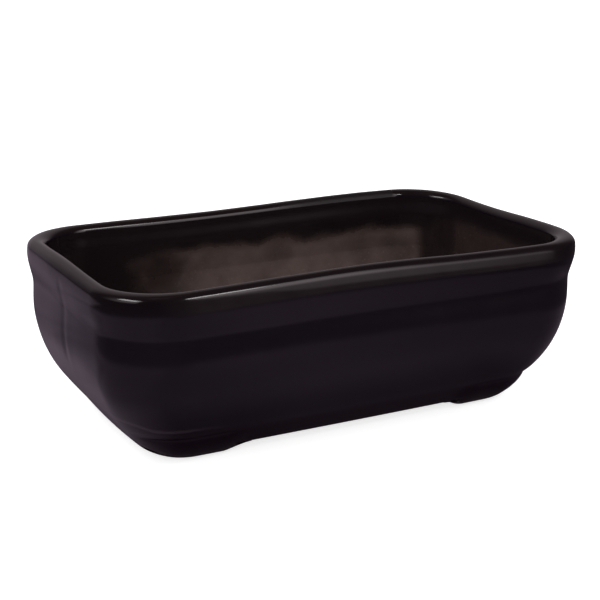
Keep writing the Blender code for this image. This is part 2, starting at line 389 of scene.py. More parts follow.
def guides(name, plan_rows, lifts, section_rows):
    """Two guides, from rows of corner, turn, slide and fade, and rows of full place, tip place and mark."""
    plan_guide = guide(
        name + "_plan",
        [(row[0], row[1], 0.0) for row in plan_rows],
        turn=[(row[2], row[3], 0.0) for row in plan_rows],
        slide=[(row[4], row[5], 0.0) for row in plan_rows],
        lift=lifts,
        fade=[row[6] for row in plan_rows],
    )
    section_guide = guide(
        name + "_section",
        [(row[0], 0.0, row[1]) for row in section_rows],
        tip=[(row[2], 0.0, row[3]) for row in section_rows],
        part=[row[4] for row in section_rows],
    )
    return plan_guide, section_guide


def tray_guides():
    """The tray's two guides. Its plan ends where it starts, so that the skin closes."""
    ring = [(*row, 0.0, 0.0, 0.0) for row in plan + plan[:1]]
    lifts = [rim_lift(*rim_point(row)) for row in ring]
    return guides("tray", ring, lifts, [(inset, z, inset, z, mark) for inset, z, mark in section])


print("guide maker ready")

# %% [markdown]
# Hands and mould leave the skin uneven, so the tree ends with a push along the surface: a slow wobble, a
# finer ripple that runs more upright, and on the left end wall one shallow upright groove, where the
# clay was pressed. The wobble is a little stronger on that wall. The soles and the floor are spared, so
# that the pot still stands flat.

# %% Uneven by hand
UNEVEN_FROM, UNEVEN_FULL = FLOOR_TOP + 0.5 * MM, FLOOR_TOP + 6.0 * MM
LEFT_WALL, LEFT_WALL_FULL, LEFT_WALL_EXTRA = -90.0 * MM, -97.0 * MM, 0.7
PRESS_MARK_LEAN, PRESS_MARK_MIDDLE = 0.08, 45.0 * MM
PRESS_MARK_FOOT = span(24.0, 38.0)
PRESS_MARK_HEAD = RIM_FOOT + 5.0 * MM, RIM_FOOT
UNEVEN_SIZES = {
    "Wobble": 0.30 * MM,
    "Wobble size": 50.0 * MM,
    "Wobble seed": 4.0,
    "Ripple": 0.07 * MM,
    "Ripple size": 16.0 * MM,
    "Press mark": 0.20 * MM,
    "Press mark place": -2.0 * MM,
    "Press mark reach": 3.2 * MM,
}


def split(t, vector):
    """The three numbers of a vector."""
    node = t.tree.nodes.new("ShaderNodeSeparateXYZ")
    plug(t.tree, node.inputs[0], vector)
    return [Value(t.tree, socket) for socket in node.outputs]


def uneven_push(t, size):
    """How far a point of the skin is pushed out along its normal."""
    point = t.node("GeometryNodeInputPosition")
    amount = 0.0
    for word, tallness in (("Wobble", 1.0), ("Ripple", 2.5)):
        wide = size[word + " size"]
        spot = t.vector("DIVIDE", point, t.node("ShaderNodeCombineXYZ", X=wide, Y=wide, Z=wide * tallness))
        noise = t.node("ShaderNodeTexNoise", {"noise_dimensions": "4D"}, Vector=spot, W=size["Wobble seed"],
                       Scale=1.0, Detail=1.5, Roughness=0.45)
        amount = (noise - 0.5) * 2.0 * size[word] + amount
    x, y, z = split(t, point)
    amount = amount * z.ramp(UNEVEN_FROM, UNEVEN_FULL)
    amount = amount * (1.0 + LEFT_WALL_EXTRA * x.ramp(LEFT_WALL, LEFT_WALL_FULL))
    groove = (y - size["Press mark place"] + (z - PRESS_MARK_MIDDLE) * PRESS_MARK_LEAN).absolute()
    groove = (1.0 - groove / size["Press mark reach"]).clamped() * x.maths("LESS_THAN", LEFT_WALL)
    groove = groove * z.ramp(*PRESS_MARK_FOOT) * z.ramp(*PRESS_MARK_HEAD)
    return amount - groove * groove * (3.0 - 2.0 * groove) * size["Press mark"]


print("deepest press mark in mm:", UNEVEN_SIZES["Press mark"] / MM)

# %% [markdown]
# Every point of the skin looks up its two guide points and works out its place: the inset and the height
# from the section, and the corner and the turn from the plan. The side that it is on then bows out, and
# the unevenness of the rim lifts it.

# %% The place of each point
LOFT_SIZES = {
    "Half length": HALF_LENGTH,
    "Half width": HALF_WIDTH,
    "Corner radius": CORNER_RADIUS,
    "Corner tightening": CORNER_TIGHTENING,
    "Left bow": LEFT_BOW,
    "Right bow": RIGHT_BOW,
    "Front bow": FRONT_BOW,
    "Rear bow": REAR_BOW,
    "Height": HEIGHT,
    **UNEVEN_SIZES,
}


def bow(along, positive, negative):
    """The outward bow of the side that a point is on, signed as its axis."""
    return positive * along.maths("GREATER_THAN", 0.0) - negative * along.maths("LESS_THAN", 0.0)


def looked_up(t, source, at, name, kind="FLOAT_VECTOR"):
    """What a guide's point at a number says under a name."""
    if name == "position":
        value = t.node("GeometryNodeInputPosition")
    else:
        value = t.node("GeometryNodeInputNamedAttribute", {"data_type": kind}, Name=name)
    return t.node("GeometryNodeSampleIndex", {"data_type": kind}, Geometry=source, Value=value, Index=at)


def lofted_place(t, size, plan_in, section_in, column, row):
    """Where the grid point at a column of the plan and a row of the section goes."""
    vectors = ("position", "turn", "slide")
    corner, turn, slide = (split(t, looked_up(t, plan_in, column, name)) for name in vectors)
    lift, fade = (looked_up(t, plan_in, column, name, "FLOAT") for name in ("lift", "fade"))
    full, tip = (split(t, looked_up(t, section_in, row, name)) for name in ("position", "tip"))
    inset = full[0] + (tip[0] - full[0]) * fade
    z = full[2] + (tip[2] - full[2]) * fade
    radius = (size["Corner radius"] - size["Corner tightening"] * inset).most(0.0)
    x = corner[0] * (size["Half length"] - inset - radius) + turn[0] * radius + slide[0]
    y = corner[1] * (size["Half width"] - inset - radius).most(0.0) + turn[1] * radius + slide[1]
    along_x = x / (size["Half length"] - inset)
    along_y = y / (size["Half width"] - inset)
    flat_x = along_x * along_x
    flat_y = along_y * along_y
    x = x + bow(along_x, size["Right bow"], size["Left bow"]) * (1.0 - flat_y).most(0.0) * flat_x * flat_x
    y = y + bow(along_y, size["Rear bow"], size["Front bow"]) * (1.0 - flat_x).most(0.0) * flat_y * flat_y
    z = z + lift * (z / size["Height"]) ** 3.0
    return t.node("ShaderNodeCombineXYZ", X=x, Y=y, Z=z)


print("sizes that the loft takes:", len(LOFT_SIZES))

# %% [markdown]
# The tree itself starts from a grid with one column for each point of the plan and one row for each point
# of the section, and moves every grid point to its place. The grid's touching edges are then merged, and
# the push is added last.

# %% The loft tree
ROUNDING_GUARD = 0.0001
MERGE_DISTANCE = 0.01 * MM


def loft_tree():
    """The loft as a node group that has its sizes as inputs."""
    tree = bpy.data.node_groups.new("Loft", "GeometryNodeTree")
    face = tree.interface
    face.new_socket("Plan", in_out="INPUT", socket_type="NodeSocketObject")
    face.new_socket("Section", in_out="INPUT", socket_type="NodeSocketObject")
    for name, size in LOFT_SIZES.items():
        face.new_socket(name, in_out="INPUT", socket_type="NodeSocketFloat").default_value = size
    face.new_socket("Finish", in_out="INPUT", socket_type="NodeSocketMaterial")
    face.new_socket("Skin", in_out="OUTPUT", socket_type="NodeSocketGeometry")
    t = Tree(tree)
    given = tree.nodes.new("NodeGroupInput")
    size = {s.name: Value(tree, s) for s in given.outputs if s.name}

    plan_in = t.node("GeometryNodeObjectInfo", output=4, Object=size["Plan"])
    section_in = t.node("GeometryNodeObjectInfo", output=4, Object=size["Section"])
    columns = t.node("GeometryNodeAttributeDomainSize", Geometry=plan_in)
    rows = t.node("GeometryNodeAttributeDomainSize", Geometry=section_in)
    grid = t.node("GeometryNodeMeshGrid", Vertices_X=columns, Vertices_Y=rows)
    index = t.node("GeometryNodeInputIndex")
    column = (index / rows + ROUNDING_GUARD).maths("FLOOR")
    row = index - column * rows
    place = lofted_place(t, size, plan_in, section_in, column, row)
    part = looked_up(t, section_in, row, "part", "FLOAT")

    skin = t.node("GeometryNodeStoreNamedAttribute", {"data_type": "FLOAT"}, Geometry=grid, Name="part",
                  Value=part)
    skin = t.node("GeometryNodeSetPosition", Geometry=skin, Position=place)
    skin = t.node("GeometryNodeMergeByDistance", Geometry=skin, Distance=MERGE_DISTANCE)
    push = t.node("ShaderNodeVectorMath", {"operation": "SCALE"}, Vector=t.node("GeometryNodeInputNormal"),
                  Scale=uneven_push(t, size))
    skin = t.node("GeometryNodeSetPosition", Geometry=skin, Offset=push)
    skin = t.node("GeometryNodeSetShadeSmooth", Geometry=skin)
    skin = t.node("GeometryNodeRealizeInstances", Geometry=skin)
    skin = t.node("GeometryNodeSetMaterial", Geometry=skin, Material=size["Finish"])
    result = tree.nodes.new("NodeGroupOutput")
    tree.links.new(skin.socket, result.inputs["Skin"])
    return tree


loft = loft_tree()
print("loft tree nodes:", len(loft.nodes))

# %% [markdown]
# A modifier's inputs are set through the identifiers of its sockets. The evaluated result is then copied
# to a plain mesh. The tray's grid has no opening left, and a foot's two scalloped ends are closed with
# small triangles, always in the same order. The faces are then turned outwards.


# %% From tree to mesh
LOFT_SHARP_ANGLE = math.radians(50.0)


def close_openings(shape):
    """Fill every ring of open edges by itself. Return the rings and the edges that stay open."""
    loose = dict.fromkeys(edge for edge in shape.edges if edge.is_boundary)
    rings = 0
    while loose:
        ring = [next(iter(loose))]
        del loose[ring[0]]
        for edge in ring:
            for other in (*edge.verts[0].link_edges, *edge.verts[1].link_edges):
                if other in loose:
                    del loose[other]
                    ring.append(other)
        bmesh.ops.triangle_fill(shape, edges=ring, use_beauty=True)
        rings += 1
    return rings, sum(edge.is_boundary for edge in shape.edges)


def lofted(name, plan_guide, section_guide, finish):
    """Run the loft once and keep its result as a plain, closed mesh."""
    holder = in_scene(name + "_loft", bpy.data.meshes.new(name + "_loft"))
    modifier = holder.modifiers.new("Loft", "NODES")
    modifier.node_group = loft
    values = {"Plan": plan_guide, "Section": section_guide, "Finish": finish}
    for item in loft.interface.items_tree:
        if item.item_type == "SOCKET" and item.in_out == "INPUT" and item.name in values:
            modifier[item.identifier] = values[item.name]
    bpy.context.view_layer.update()
    evaluated = holder.evaluated_get(bpy.context.evaluated_depsgraph_get())
    mesh = bpy.data.meshes.new_from_object(evaluated)
    mesh.name = name
    for spent in (holder, plan_guide, section_guide):
        bpy.data.objects.remove(spent)
    shape = bmesh.new()
    shape.from_mesh(mesh)
    rings, still_open = close_openings(shape)
    bmesh.ops.recalc_face_normals(shape, faces=shape.faces)
    shape.to_mesh(mesh)
    shape.free()
    mesh.shade_smooth()
    mesh.set_sharp_from_angle(angle=LOFT_SHARP_ANGLE)
    piece = in_scene(name, mesh)
    triangles = sum(len(p.vertices) - 2 for p in mesh.polygons)
    print(name, "triangles:", triangles, "rings closed:", rings, "edges left open:", still_open)
    return piece

# %% [markdown]
# A glaze isn't one colour. Where it lies thick it is almost black with a violet cast, on the rim and the
# lower edges it thins and turns to brown and olive, and it stops in a wavy line inside the pot, where the
# clay is bare. All of that is one material, driven by the part mark and by the height of the point.

# %% Colours of glaze and clay
GLAZE_DEEP = (0.0036, 0.0020, 0.0042)
GLAZE_VEIL = (0.0072, 0.0044, 0.0080)
GLAZE_LIP = (0.0110, 0.0062, 0.0056)
GLAZE_BAND = (0.0034, 0.0017, 0.0022)
# The rim face is painted lighter, as the reflection of the soft box's grey fade below the near rim's
# highlight.
RIM_PAINTED_REFLECTION = (0.0150, 0.0106, 0.0116)
GLAZE_INSIDE = (0.0115, 0.0075, 0.0082)
# The base band's purple glaze, made darker with painted shade.
BASE_PURPLE_AND_SHADE = (0.0040, 0.0009, 0.0036)
# A painted highlight along the crease.
CREASE_PAINTED_HIGHLIGHT = (0.0400, 0.0250, 0.0350)
GLAZE_OLIVE = (0.0230, 0.0190, 0.0150)
CLAY_BROWN = (0.1550, 0.1060, 0.0930)
CLAY_DARK = (0.0560, 0.0350, 0.0310)
CLAY_LIGHT = (0.2600, 0.1900, 0.1600)
GLAZE_LINE = HEIGHT - 15.5 * MM
print("the glaze stops inside at mm:", round(GLAZE_LINE / MM, 1))

# %% [markdown]
# Noise patterns are asked for by the size of their features in metres, which is easier to judge against
# the pot than Blender's scale. They read Object coordinates, so they stay on the clay. One is broad, one
# is the veil of the glaze, and the two finest are the grit of the bare clay.


# %% Patterns by size
def sized_noise(t, size, detail, seed, stretch=(1.0, 1.0, 1.0), rough=0.55):
    """A noise between 0 and 1 whose features are about size metres across."""
    place = t.node("ShaderNodeTexCoord", output=3)
    scale = [1.0 / (size * s) for s in stretch]
    place = t.node("ShaderNodeMapping", _0=place, Location=(seed, seed * 1.7, seed * 0.6), Scale=scale)
    return t.node("ShaderNodeTexNoise", Vector=place, Scale=1.0, Detail=detail, Roughness=rough)


def mixed(t, factor, low, high):
    """A colour between two colours."""
    low, high = (colour if isinstance(colour, Value) else (*colour, 1.0) for colour in (low, high))
    return t.node("ShaderNodeMix", {"data_type": "RGBA"}, output=2, _0=factor, _6=low, _7=high)


class Clay:
    """What both finishes read: the part mark, the place on the pot, and the patterns."""

    def __init__(self, t):
        settings = {"attribute_type": "GEOMETRY", "attribute_name": "part"}
        self.part = t.node("ShaderNodeAttribute", settings, output=2)
        self.x, self.y, self.z = split(t, t.node("ShaderNodeTexCoord", output=3))
        self.broad = sized_noise(t, 34.0 * MM, 2.0, seed=2.0, stretch=(2.2, 2.2, 0.8))
        self.veil = sized_noise(t, 11.0 * MM, 4.0, seed=5.0)
        self.fine = sized_noise(t, 1.1 * MM, 3.0, seed=8.0)
        self.grain = sized_noise(t, 0.45 * MM, 2.0, seed=3.0)


print("patterns ready")

# %% [markdown]
# The glaze is laid from the general to the particular: the violet veil all over, the darker band under
# the rim, a lighter face of the rim that is painted reflection, the brown of its top, and then the base.
# There the colour is darkest and more purple below a line that climbs towards the near left corner, which
# is painted shade, with a thin pale edge on the line, which is a painted highlight on the crease.

# %% How the glaze lies
RIM_REFLECTION_ENDS = span(88.0, 68.0)
CLIMB, CLIMB_ALONG = 3.6 * MM, span(-20.0, -75.0)
CORNER_CLIMB, CORNER_CLIMB_ALONG = 3.4 * MM, span(-80.0, -94.0)
BASE_WAVER, BASE_EDGE = 1.2 * MM, span(0.5, -0.6)
PALE_LOWER, PALE_UPPER, PALE_ALONG = span(-0.6, 0.2), span(2.0, 0.4), span(-52.0, -82.0)
SOLE_WAVER, SOLE_EDGE = 2.4 * MM, span(4.6, 1.8)


def glaze_colour(t, clay):
    """The glaze's colour on the outside and over the rim."""
    part, veil = clay.part, clay.veil
    glaze = mixed(t, (clay.broad * 1.6 + veil * 0.5 - 0.6).clamped(), GLAZE_DEEP, GLAZE_VEIL)
    band = (part + (veil - 0.5) * 0.3).ramp(1.15, 2.0) * part.ramp(2.35, 2.1)
    glaze = mixed(t, band, glaze, GLAZE_BAND)
    # Painted reflection: the rim face is lighter, and the lighter colour fades out towards both ends.
    rim_reflection = part.ramp(1.45, 1.6) * part.ramp(2.3, 2.1) * clay.x.absolute().ramp(*RIM_REFLECTION_ENDS)
    glaze = mixed(t, rim_reflection * (0.4 + veil).clamped(), glaze, RIM_PAINTED_REFLECTION)
    lip = part.ramp(2.1, 2.35) * part.ramp(3.0, 2.8)
    glaze = mixed(t, lip * (veil * 0.8 + 0.4).clamped(), glaze, GLAZE_LIP)
    climb = clay.x.ramp(*CLIMB_ALONG) * CLIMB + clay.x.ramp(*CORNER_CLIMB_ALONG) * CORNER_CLIMB
    over_line = clay.z - CREASE - climb + (veil - 0.5) * BASE_WAVER
    outside = part.ramp(2.0, 1.5)
    # Painted shade: below the climbing line the base band gets a darker, more purple colour.
    glaze = mixed(t, over_line.ramp(*BASE_EDGE) * outside, glaze, BASE_PURPLE_AND_SHADE)
    # Painted highlight: a thin pale line along the crease, towards the left end.
    pale = over_line.ramp(*PALE_LOWER) * over_line.ramp(*PALE_UPPER) * clay.x.ramp(*PALE_ALONG)
    glaze = mixed(t, pale * outside * 0.5, glaze, CREASE_PAINTED_HIGHLIGHT)
    low = (clay.z + (veil - 0.5) * SOLE_WAVER).ramp(*SOLE_EDGE)
    return mixed(t, low * 0.8, glaze, GLAZE_OLIVE)


print("the base glaze climbs to mm:", round((CREASE + CLIMB + CORNER_CLIMB) / MM, 1))

# %% [markdown]
# Inside the pot the glaze stops in a ragged line. It ran further down in the left part of the long walls
# and in the two right corners, and the right end wall is half covered. The clay is paler and darker in
# blotches, and low on the left, towards the long walls, it is darker with painted shade. The floor holes
# are bare as well, and so are the soles.

# %% Where the clay is bare
RUN_WANDER, RUN_WAVER = 26.0 * MM, 14.0 * MM
LEFT_RUN_ALONG, LEFT_RUN_ACROSS = span(-26.0, -60.0), span(6.0, 30.0)
LEFT_RUN_UP = span(24.0, 36.0)
RIGHT_RUN_ALONG, RIGHT_RUN_ACROSS = span(82.5, 87.5), span(22.0, 34.0)
END_WALL, END_WALL_DROP = span(88.0, 93.0), 4.0 * MM
RAGGED_BLOTCH, RAGGED_VEIL, RAGGED_FINE = 9.0 * MM, 3.0 * MM, 1.5 * MM
LINE_EDGE = GLAZE_LINE + 4.5 * MM, GLAZE_LINE - 4.5 * MM
LEFT_SHADE_ALONG, LEFT_SHADE_ACROSS, LEFT_SHADE_UP = span(0.0, -42.0), span(20.0, 40.0), span(52.0, 40.0)


def bare_inside(t, clay, behind_rim):
    """Masks for the tray: where its clay is bare, and where the bare clay is pale, less so where shade is
    painted low on the left.
    """
    blotch = sized_noise(t, 17.0 * MM, 2.0, seed=11.0, rough=0.5)
    across = clay.y.absolute()
    wander = (blotch - 0.5) * RUN_WANDER + (clay.veil - 0.5) * RUN_WAVER
    left_run = (clay.x + wander).ramp(*LEFT_RUN_ALONG) * across.ramp(*LEFT_RUN_ACROSS)
    left_run = left_run * (clay.z + wander * 0.3).ramp(*LEFT_RUN_UP)
    right_run = (clay.x + wander * 0.12).ramp(*RIGHT_RUN_ALONG) * across.ramp(*RIGHT_RUN_ACROSS)
    ragged = (blotch - 0.5) * RAGGED_BLOTCH + (clay.veil - 0.5) * RAGGED_VEIL
    ragged = ragged + (clay.fine - 0.5) * RAGGED_FINE
    end_wall = clay.x.ramp(*END_WALL)
    line = (clay.z + ragged - end_wall * END_WALL_DROP).ramp(*LINE_EDGE)
    line = line * line * (3.0 - 2.0 * line)
    line = line * (1.0 - left_run.most(right_run * 0.9).most(end_wall * 0.55))
    bare = (line * behind_rim).most(clay.part.ramp(0.22, 0.12))
    # Painted shade: the clay is darker low on the left, towards the long walls.
    left_shade = clay.x.ramp(*LEFT_SHADE_ALONG) * clay.z.ramp(*LEFT_SHADE_UP) * across.ramp(*LEFT_SHADE_ACROSS)
    pale = (blotch * 1.7 + clay.veil * 1.2 - 0.8).clamped() * (1.0 - end_wall * 0.6)
    return bare, (pale - left_run * 0.5 - left_shade * 0.6).clamped()


def clay_colour(t, clay, pale):
    """Bare clay with pale and dark grit."""
    colour = mixed(t, pale, CLAY_DARK, CLAY_BROWN)
    colour = mixed(t, clay.fine.ramp(0.60, 0.76) * 0.35, colour, CLAY_LIGHT)
    return mixed(t, clay.grain.ramp(0.34, 0.24) * 0.6, colour, CLAY_DARK)


print("bare clay ready")

# %% [markdown]
# The glaze is glossy and the clay is rough. On the far right the rim's top is worn, so it shines less
# there. Bare clay is gritty and pitted, and the glaze lies almost smooth over it. The relief rises as
# often as it falls, so that it doesn't swell the clay.

# %% The two finishes
CLAY_ROUGHNESS = 0.85
WORN_ACROSS, WORN_FROM, WORN_TO = span(46.0, 50.0), span(0.0, 34.0), span(76.0, 73.0)
RELIEF_HEIGHT = 0.10 * MM


def glazed_clay(name, whole_pot):
    """Glaze over clay. The feet have no inside, so only the tray asks for the glaze line."""
    material = bpy.data.materials.new(name)
    t = emptied(material)
    clay = Clay(t)
    part, veil = clay.part, clay.veil
    glaze = glaze_colour(t, clay)
    if whole_pot:
        behind_rim = part.ramp(2.95, 3.02)
        glaze = mixed(t, behind_rim, glaze, GLAZE_INSIDE)
        bare, pale = bare_inside(t, clay, behind_rim)
    else:
        behind_rim = 0.0
        bare, pale = (part + (veil - 0.5) * 0.3).ramp(0.45, 0.25), veil
    colour = mixed(t, bare, glaze, clay_colour(t, clay, pale))

    worn = clay.y.ramp(*WORN_ACROSS) * clay.x.ramp(*WORN_FROM) * clay.x.ramp(*WORN_TO)
    worn = worn * part.ramp(2.2, 2.4) * part.ramp(3.0, 2.9)
    sheen = 0.07 + veil * 0.06 + part.ramp(1.9, 1.2) * 0.06 + worn * 0.38 + behind_rim * 0.05
    rough = sheen + (CLAY_ROUGHNESS - sheen) * bare * bare
    grit = (clay.fine - 0.5) * 0.5 + (clay.grain - 0.5) * 0.5 - clay.grain.ramp(0.34, 0.22) * 0.6
    relief = bare * grit + (1.0 - bare) * (veil - 0.5) * 0.08
    bump = t.node("ShaderNodeBump", Strength=1.0, Distance=RELIEF_HEIGHT, Height=relief)
    shader = t.node("ShaderNodeBsdfPrincipled", Base_Color=colour, Roughness=rough, Normal=bump, IOR=1.5)
    t.end("ShaderNodeOutputMaterial", shader)
    print(name, "nodes:", len(t.tree.nodes))
    return material


tray_glaze = glazed_clay("tray_glaze", True)
foot_glaze = glazed_clay("foot_glaze", False)

# %% [markdown]
# The tray can be lofted now. Its floor is drilled afterwards with turned plugs whose ends flare, which
# leaves the rounded lips that a sponge leaves on wet clay. The cut makes new faces with no part mark, so
# the marks are kept face by face from here on, and the floor round the holes is marked as bare.

# %% The tray
DRAIN_HOLE_RADIUS, DRAIN_HOLE_X = 7.0 * MM, 42.0 * MM
WIRE_HOLE_RADIUS, WIRE_HOLE_X, WIRE_HOLE_Y = 2.0 * MM, 20.0 * MM, 15.0 * MM
DRAIN_HOLE_SIDES, WIRE_HOLE_SIDES = 72, 36
HOLE_LIP, LIP_FLARE, LIP_ROWS = 1.2 * MM, 1.3, 8
LIP_CLEARANCE, PLUG_OVERRUN = 0.1 * MM, 2.0 * MM
DRILLED_REACH_X, DRILLED_REACH_Y, DRILLED_REACH_UP = DRAIN_HOLE_X + 12.0 * MM, 22.0 * MM, 1.0 * MM
DRILLED_SHARP_ANGLE = math.radians(42.0)


def add_plug(shape, x, y, radius, sides):
    """A closed, turned plug that cuts one hole and its two lips."""
    profile = [(radius + HOLE_LIP * LIP_FLARE, UNDERSIDE - PLUG_OVERRUN)]
    for angle in even_steps(0.0, QUARTER, LIP_ROWS, 0):
        z = UNDERSIDE - LIP_CLEARANCE + HOLE_LIP * (1.0 - math.cos(angle))
        profile.append((radius + HOLE_LIP * (1.0 - math.sin(angle)), z))
    for angle in even_steps(0.0, QUARTER, LIP_ROWS, 0):
        z = FLOOR_TOP + LIP_CLEARANCE - HOLE_LIP * (1.0 - math.sin(angle))
        profile.append((radius + HOLE_LIP * (1.0 - math.cos(angle)), z))
    profile.append((radius + HOLE_LIP * LIP_FLARE, FLOOR_TOP + PLUG_OVERRUN))
    angles = even_steps(0.0, math.tau, sides, 0)[:-1]
    rings = []
    for reach, z in profile:
        points = [(x + reach * math.cos(angle), y + reach * math.sin(angle), z) for angle in angles]
        rings.append([shape.verts.new(point) for point in points])
    for lower, upper in zip(rings, rings[1:]):
        for i in range(sides):
            j = (i + 1) % sides
            shape.faces.new((lower[i], lower[j], upper[j], upper[i]))
    shape.faces.new(reversed(rings[0]))
    shape.faces.new(rings[-1])


def mark_bare(mesh):
    """Keep the part marks face by face, and mark all faces at the holes as bare floor."""
    marks = [0.0] * len(mesh.vertices)
    mesh.attributes["part"].data.foreach_get("value", marks)
    by_corner = []
    for face in mesh.polygons:
        at_hole = (abs(face.center.x) < DRILLED_REACH_X and abs(face.center.y) < DRILLED_REACH_Y
                   and face.center.z < FLOOR_TOP + DRILLED_REACH_UP)
        by_corner.extend(4.0 if at_hole else marks[vertex] for vertex in face.vertices)
    mesh.attributes.remove(mesh.attributes["part"])
    mesh.attributes.new("part", "FLOAT", "CORNER").data.foreach_set("value", by_corner)


def drilled(piece):
    """Cut the floor holes and keep the result as the piece's mesh."""
    shape = bmesh.new()
    for side in (-1, 1):
        add_plug(shape, side * DRAIN_HOLE_X, 0.0, DRAIN_HOLE_RADIUS, DRAIN_HOLE_SIDES)
        for row in (-1, 1):
            add_plug(shape, side * WIRE_HOLE_X, row * WIRE_HOLE_Y, WIRE_HOLE_RADIUS, WIRE_HOLE_SIDES)
    mesh = bpy.data.meshes.new("plugs")
    mesh.materials.append(tray_glaze)
    shape.to_mesh(mesh)
    shape.free()
    cutter = in_scene("plugs", mesh)
    drill = piece.modifiers.new("Holes", "BOOLEAN")
    drill.solver = "EXACT"
    drill.object = cutter
    bpy.context.view_layer.update()
    evaluated = piece.evaluated_get(bpy.context.evaluated_depsgraph_get())
    result = bpy.data.meshes.new_from_object(evaluated)
    piece.modifiers.clear()
    piece.data = result
    bpy.data.objects.remove(cutter)
    mark_bare(result)
    result.shade_smooth()
    result.set_sharp_from_angle(angle=DRILLED_SHARP_ANGLE)
    return piece


tray = drilled(lofted("pot", *tray_guides(), tray_glaze))
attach(tray, "root")
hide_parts("pot_body")
print("tray faces after drilling:", len(tray.data.polygons))

# %% [markdown]
# A foot is lofted by the same tree. Its section swells out of the base band. Each row also has a place on
# a second section, the tip, which lies just inside the tray, so the foot can grow out of the clay with no
# step.

# %% The section of a foot
FOOT_WIDTH = 15.0 * MM
FOOT_SWELL = 1.6 * MM
FOOT_LONG_END, FOOT_SHORT_END = 53.1 * MM, 32.5 * MM
SCALLOP_LONG, SCALLOP_SHORT = 10.3 * MM, 12.0 * MM
SOLE_OUTER_EDGE, SOLE_INNER_EDGE = 2.4 * MM, 1.2 * MM
SUNK, FOOT_HEAD = 0.30 * MM, 1.0 * MM
HEAD_DEPTH, HEEL_DEPTH = 2.0 * MM, 2.5 * MM
CREASE_EASE = 0.16
SHORTEST_LEG = 1.0 * MM
FOOT_LEG_STEPS = 30
HEEL_ROWS, SOLE_ROWS, SOLE_EDGE_ROWS, FOOT_FACE_ROWS = 5, 9, 8, 20


def foot_section():
    """Full rows and tip rows of a foot, as closed loops, with marks: 0 sole, 1 glazed face."""
    inner = band_inset(0.0) + FOOT_WIDTH
    top = UNDERSIDE + 2.0 * SUNK
    tip_sole = UNDERSIDE + SUNK
    rows = [(band_inset(top) + HEEL_DEPTH, top, band_inset(top) + HEEL_DEPTH, top, 1.0)]
    rows.append((outer_inset(CREASE) + HEAD_DEPTH, CREASE, outer_inset(CREASE) + HEAD_DEPTH, CREASE, 1.0))
    for z in reversed(even_steps(SOLE_OUTER_EDGE, CREASE + FOOT_HEAD, FOOT_FACE_ROWS)):
        hidden = outer_inset(max(z, tip_sole)) + SUNK
        if z < UNDERSIDE + UNDERSIDE_EDGE:
            hidden += UNDERSIDE_EDGE
        rows.append((face_inset(z), z, hidden, max(z, tip_sole), 1.0))
    for t in reversed(even_steps(0.0, 1.0, SOLE_EDGE_ROWS, 0)):
        z = SOLE_OUTER_EDGE * (1.0 - math.sin(QUARTER * (1.0 - t)))
        inset = face_inset(z) + SOLE_OUTER_EDGE * (1.0 - math.cos(QUARTER * (1.0 - t)))
        rows.append((inset, z, max(inset, outer_inset(tip_sole) + SUNK), max(z, tip_sole), t))
    start, end = inner - SOLE_INNER_EDGE, band_inset(0.0) + SOLE_OUTER_EDGE
    for inset in reversed(even_steps(start, end, SOLE_ROWS)[:-1]):
        rows.append((inset, 0.0, inset, tip_sole, 0.0))
    for angle in reversed(even_steps(0.0, QUARTER, HEEL_ROWS, 0)):
        inset = inner - SOLE_INNER_EDGE * (1.0 - math.cos(angle))
        rows.append((inset, SOLE_INNER_EDGE * (1.0 - math.sin(angle)), inset, tip_sole, 0.0))
    rows.append((inner, top, inner, top, 0.0))
    rows.append(rows[0])
    return rows


def face_inset(z):
    """The outer face of a full foot: it leaves the band softly under the crease and swells below."""
    t = z / CREASE
    if t >= 1.0:
        return outer_inset(z) + SUNK
    swell = FOOT_SWELL * 4.0 * t * (1.0 - t)
    near_crease = smooth((1.0 - t) / CREASE_EASE)
    line = outer_inset(z) if z > UNDERSIDE + UNDERSIDE_EDGE else band_inset(z)
    return line - swell * near_crease + SUNK * (1.0 - near_crease)


print("rows of a foot's section:", len(foot_section()))

# %% [markdown]
# The plan of a foot runs only round one corner. It ends in a scallop under each side of the tray, where
# the sole rises and the section fades into its tip.


# %% The feet
def scallop(x, y):
    """0 where the sole stands on the ground, and 1 where a scallop has risen to the tray."""
    return max(smooth((FOOT_LONG_END - x) / SCALLOP_LONG), smooth((FOOT_SHORT_END - y) / SCALLOP_SHORT))


def foot_plan(sign_x, sign_y):
    """Rows of corner, turn, slide and fade round one corner, from the long side to the short one."""
    long_tip, short_tip = FOOT_LONG_END - SCALLOP_LONG, FOOT_SHORT_END - SCALLOP_SHORT
    sole_inset = band_inset(0.0) + SOLE_OUTER_EDGE
    radius = CORNER_RADIUS - CORNER_TIGHTENING * sole_inset
    centre_x, centre_y = HALF_LENGTH - sole_inset - radius, HALF_WIDTH - sole_inset - radius
    rows = []
    for step in range(FOOT_LEG_STEPS):
        t = step / FOOT_LEG_STEPS
        fade = scallop(long_tip + (centre_x - long_tip) * t, centre_y + radius)
        rows.append((t, 1.0, 0.0, 1.0, (1.0 - t) * long_tip, 0.0, fade))
    for step in range(CORNER_STEPS):
        angle = QUARTER * (1.0 - step / CORNER_STEPS)
        fade = scallop(centre_x + radius, centre_y + radius * math.sin(angle))
        rows.append((1.0, 1.0, math.cos(angle), math.sin(angle), 0.0, 0.0, fade))
    short_tip = min(short_tip, centre_y - SHORTEST_LEG)
    for step in range(FOOT_LEG_STEPS + 1):
        t = 1.0 - step / FOOT_LEG_STEPS
        fade = scallop(centre_x + radius, short_tip + (centre_y - short_tip) * t)
        rows.append((1.0, t, 1.0, 0.0, 0.0, (1.0 - t) * short_tip, fade))
    signs = (sign_x, sign_y) * 3 + (1,)
    return [tuple(sign * value for sign, value in zip(signs, row)) for row in rows]


